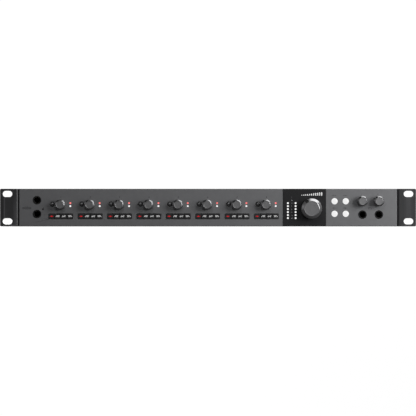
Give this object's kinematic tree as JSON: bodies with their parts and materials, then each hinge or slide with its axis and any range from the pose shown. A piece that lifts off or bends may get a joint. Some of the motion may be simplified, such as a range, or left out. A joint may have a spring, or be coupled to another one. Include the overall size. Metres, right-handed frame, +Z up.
{
  "type": "rack audio interface",
  "caption": "One-unit rack audio interface: black steel case with slotted ears, grey fascia with microphone channel strips, lit keys, meter, volume and headphone knobs, rear sockets.",
  "frame": {"origin": "centre of the four rack slots, on the rear face of the ears, which is the face that meets the rack rails", "axes": "+X to the right seen from the front, +Y to the rear of the case, +Z up"},
  "size_m": [0.4826, 0.2492, 0.0436],
  "materials": {
    "case_steel": "fine black powder coat on folded steel",
    "ear_steel": "fine black powder coat on 2.5 mm steel",
    "fascia_aluminium": "bead-blasted and anodised dark grey",
    "centre_black": "satin black",
    "knob_metal": "turned aluminium, anodised gunmetal, bright-cut bevel",
    "button_black": "gloss black",
    "key_black": "matt black with lit symbols",
    "button_lit": "white, lit from behind",
    "light_white": "clear light pipe, lit red or white",
    "socket_black": "glass-filled black nylon",
    "shell_steel": "tin-plated pressed steel",
    "shell_nickel": "nickel-plated brass",
    "screw_black": "black oxide",
    "screw_zinc": "zinc plated",
    "board_green": "green solder mask over glass epoxy, with fitted parts",
    "supply_parts": "mains supply parts",
    "pot_steel": "plated steel",
    "switch_black": "moulded black",
    "post_brass": "nickel-free brass",
    "ribbon_grey": "grey flat cable",
    "rocker_black": "gloss black"
  },
  "bodies": {
    "root": {"chassis_tray": "case_steel", "front_wall": "case_steel", "rear_panel": "case_steel", "top_cover": "case_steel", "fascia": "fascia_aluminium", "centre_panel": "centre_black", "left_rack_ear": "ear_steel", "right_rack_ear": "ear_steel", "case_screws": "screw_black", "ear_screws": "screw_black", "control_board": "board_green", "pots": "pot_steel", "volume_encoder": "pot_steel", "push_switches": "switch_black", "light_pipes": "light_white", "front_jacks": "socket_black", "combo_sockets": "socket_black", "dsub_sockets": "shell_steel", "monitor_jacks": "socket_black", "optical_ports": "socket_black", "word_clock_sockets": "shell_nickel", "usb_socket": "shell_steel", "power_inlet": "socket_black", "socket_screws": "screw_zinc", "main_board": "board_green", "power_supply": "supply_parts", "board_fixings": "post_brass", "ribbon_cable": "ribbon_grey"},
    "volume_knob": {"volume_knob": "knob_metal"},
    "power_rocker": {"power_rocker": "rocker_black"},
    "gain_knob_1": {"gain_knob_1": "knob_metal"},
    "select_button_1": {"select_button_1": "button_black"},
    "key_bank_1": {"key_bank_1": "key_black"},
    "gain_knob_2": {"gain_knob_2": "knob_metal"},
    "select_button_2": {"select_button_2": "button_black"},
    "key_bank_2": {"key_bank_2": "key_black"},
    "gain_knob_3": {"gain_knob_3": "knob_metal"},
    "select_button_3": {"select_button_3": "button_black"},
    "key_bank_3": {"key_bank_3": "key_black"},
    "gain_knob_4": {"gain_knob_4": "knob_metal"},
    "select_button_4": {"select_button_4": "button_black"},
    "key_bank_4": {"key_bank_4": "key_black"},
    "gain_knob_5": {"gain_knob_5": "knob_metal"},
    "select_button_5": {"select_button_5": "button_black"},
    "key_bank_5": {"key_bank_5": "key_black"},
    "gain_knob_6": {"gain_knob_6": "knob_metal"},
    "select_button_6": {"select_button_6": "button_black"},
    "key_bank_6": {"key_bank_6": "key_black"},
    "gain_knob_7": {"gain_knob_7": "knob_metal"},
    "select_button_7": {"select_button_7": "button_black"},
    "key_bank_7": {"key_bank_7": "key_black"},
    "gain_knob_8": {"gain_knob_8": "knob_metal"},
    "select_button_8": {"select_button_8": "button_black"},
    "key_bank_8": {"key_bank_8": "key_black"},
    "phones_knob_1": {"phones_knob_1": "knob_metal"},
    "phones_knob_2": {"phones_knob_2": "knob_metal"},
    "function_button_1": {"function_button_1": "button_lit"},
    "function_button_2": {"function_button_2": "button_lit"},
    "function_button_3": {"function_button_3": "button_lit"},
    "function_button_4": {"function_button_4": "button_lit"}
  },
  "joints": [
    {"name": "volume_knob_turn", "type": "hinge", "parent": "root", "child": "volume_knob", "pos_m": [0.1199, -0.003, -0.0012], "axis": [0, 1, 0], "continuous": true},
    {"name": "power_rocker_tilt", "type": "hinge", "parent": "root", "child": "power_rocker", "pos_m": [0.1575, 0.2195, 0], "axis": [1, 0, 0], "range_deg": [-16, 0]},
    {"name": "gain_knob_1_turn", "type": "hinge", "parent": "root", "child": "gain_knob_1", "pos_m": [-0.1711, -0.003, 0.0033], "axis": [0, 1, 0], "range_deg": [-115, 185]},
    {"name": "gain_knob_2_turn", "type": "hinge", "parent": "root", "child": "gain_knob_2", "pos_m": [-0.13705, -0.003, 0.0033], "axis": [0, 1, 0], "range_deg": [-115, 185]},
    {"name": "gain_knob_3_turn", "type": "hinge", "parent": "root", "child": "gain_knob_3", "pos_m": [-0.103, -0.003, 0.0033], "axis": [0, 1, 0], "range_deg": [-115, 185]},
    {"name": "gain_knob_4_turn", "type": "hinge", "parent": "root", "child": "gain_knob_4", "pos_m": [-0.06895, -0.003, 0.0033], "axis": [0, 1, 0], "range_deg": [-115, 185]},
    {"name": "gain_knob_5_turn", "type": "hinge", "parent": "root", "child": "gain_knob_5", "pos_m": [-0.0349, -0.003, 0.0033], "axis": [0, 1, 0], "range_deg": [-115, 185]},
    {"name": "gain_knob_6_turn", "type": "hinge", "parent": "root", "child": "gain_knob_6", "pos_m": [-0.00085, -0.003, 0.0033], "axis": [0, 1, 0], "range_deg": [-115, 185]},
    {"name": "gain_knob_7_turn", "type": "hinge", "parent": "root", "child": "gain_knob_7", "pos_m": [0.0332, -0.003, 0.0033], "axis": [0, 1, 0], "range_deg": [-115, 185]},
    {"name": "gain_knob_8_turn", "type": "hinge", "parent": "root", "child": "gain_knob_8", "pos_m": [0.06725, -0.003, 0.0033], "axis": [0, 1, 0], "range_deg": [-115, 185]},
    {"name": "select_button_1_press", "type": "slide", "parent": "root", "child": "select_button_1", "axis": [0, 1, 0], "range_m": [0, 0.0008], "stiffness_N_per_m": 800, "springref_m": -0.001},
    {"name": "select_button_2_press", "type": "slide", "parent": "root", "child": "select_button_2", "axis": [0, 1, 0], "range_m": [0, 0.0008], "stiffness_N_per_m": 800, "springref_m": -0.001},
    {"name": "select_button_3_press", "type": "slide", "parent": "root", "child": "select_button_3", "axis": [0, 1, 0], "range_m": [0, 0.0008], "stiffness_N_per_m": 800, "springref_m": -0.001},
    {"name": "select_button_4_press", "type": "slide", "parent": "root", "child": "select_button_4", "axis": [0, 1, 0], "range_m": [0, 0.0008], "stiffness_N_per_m": 800, "springref_m": -0.001},
    {"name": "select_button_5_press", "type": "slide", "parent": "root", "child": "select_button_5", "axis": [0, 1, 0], "range_m": [0, 0.0008], "stiffness_N_per_m": 800, "springref_m": -0.001},
    {"name": "select_button_6_press", "type": "slide", "parent": "root", "child": "select_button_6", "axis": [0, 1, 0], "range_m": [0, 0.0008], "stiffness_N_per_m": 800, "springref_m": -0.001},
    {"name": "select_button_7_press", "type": "slide", "parent": "root", "child": "select_button_7", "axis": [0, 1, 0], "range_m": [0, 0.0008], "stiffness_N_per_m": 800, "springref_m": -0.001},
    {"name": "select_button_8_press", "type": "slide", "parent": "root", "child": "select_button_8", "axis": [0, 1, 0], "range_m": [0, 0.0008], "stiffness_N_per_m": 800, "springref_m": -0.001},
    {"name": "key_bank_1_press", "type": "slide", "parent": "root", "child": "key_bank_1", "axis": [0, 1, 0], "range_m": [0, 0.0006], "stiffness_N_per_m": 800, "springref_m": -0.001},
    {"name": "key_bank_2_press", "type": "slide", "parent": "root", "child": "key_bank_2", "axis": [0, 1, 0], "range_m": [0, 0.0006], "stiffness_N_per_m": 800, "springref_m": -0.001},
    {"name": "key_bank_3_press", "type": "slide", "parent": "root", "child": "key_bank_3", "axis": [0, 1, 0], "range_m": [0, 0.0006], "stiffness_N_per_m": 800, "springref_m": -0.001},
    {"name": "key_bank_4_press", "type": "slide", "parent": "root", "child": "key_bank_4", "axis": [0, 1, 0], "range_m": [0, 0.0006], "stiffness_N_per_m": 800, "springref_m": -0.001},
    {"name": "key_bank_5_press", "type": "slide", "parent": "root", "child": "key_bank_5", "axis": [0, 1, 0], "range_m": [0, 0.0006], "stiffness_N_per_m": 800, "springref_m": -0.001},
    {"name": "key_bank_6_press", "type": "slide", "parent": "root", "child": "key_bank_6", "axis": [0, 1, 0], "range_m": [0, 0.0006], "stiffness_N_per_m": 800, "springref_m": -0.001},
    {"name": "key_bank_7_press", "type": "slide", "parent": "root", "child": "key_bank_7", "axis": [0, 1, 0], "range_m": [0, 0.0006], "stiffness_N_per_m": 800, "springref_m": -0.001},
    {"name": "key_bank_8_press", "type": "slide", "parent": "root", "child": "key_bank_8", "axis": [0, 1, 0], "range_m": [0, 0.0006], "stiffness_N_per_m": 800, "springref_m": -0.001},
    {"name": "phones_knob_1_turn", "type": "hinge", "parent": "root", "child": "phones_knob_1", "pos_m": [0.1789, -0.003, 0.0075], "axis": [0, 1, 0], "range_deg": [-115, 185]},
    {"name": "phones_knob_2_turn", "type": "hinge", "parent": "root", "child": "phones_knob_2", "pos_m": [0.1979, -0.003, 0.0075], "axis": [0, 1, 0], "range_deg": [-115, 185]},
    {"name": "function_button_1_press", "type": "slide", "parent": "root", "child": "function_button_1", "axis": [0, 1, 0], "range_m": [0, 0.0008], "stiffness_N_per_m": 800, "springref_m": -0.001},
    {"name": "function_button_2_press", "type": "slide", "parent": "root", "child": "function_button_2", "axis": [0, 1, 0], "range_m": [0, 0.0008], "stiffness_N_per_m": 800, "springref_m": -0.001},
    {"name": "function_button_3_press", "type": "slide", "parent": "root", "child": "function_button_3", "axis": [0, 1, 0], "range_m": [0, 0.0008], "stiffness_N_per_m": 800, "springref_m": -0.001},
    {"name": "function_button_4_press", "type": "slide", "parent": "root", "child": "function_button_4", "axis": [0, 1, 0], "range_m": [0, 0.0008], "stiffness_N_per_m": 800, "springref_m": -0.001}
  ]
}
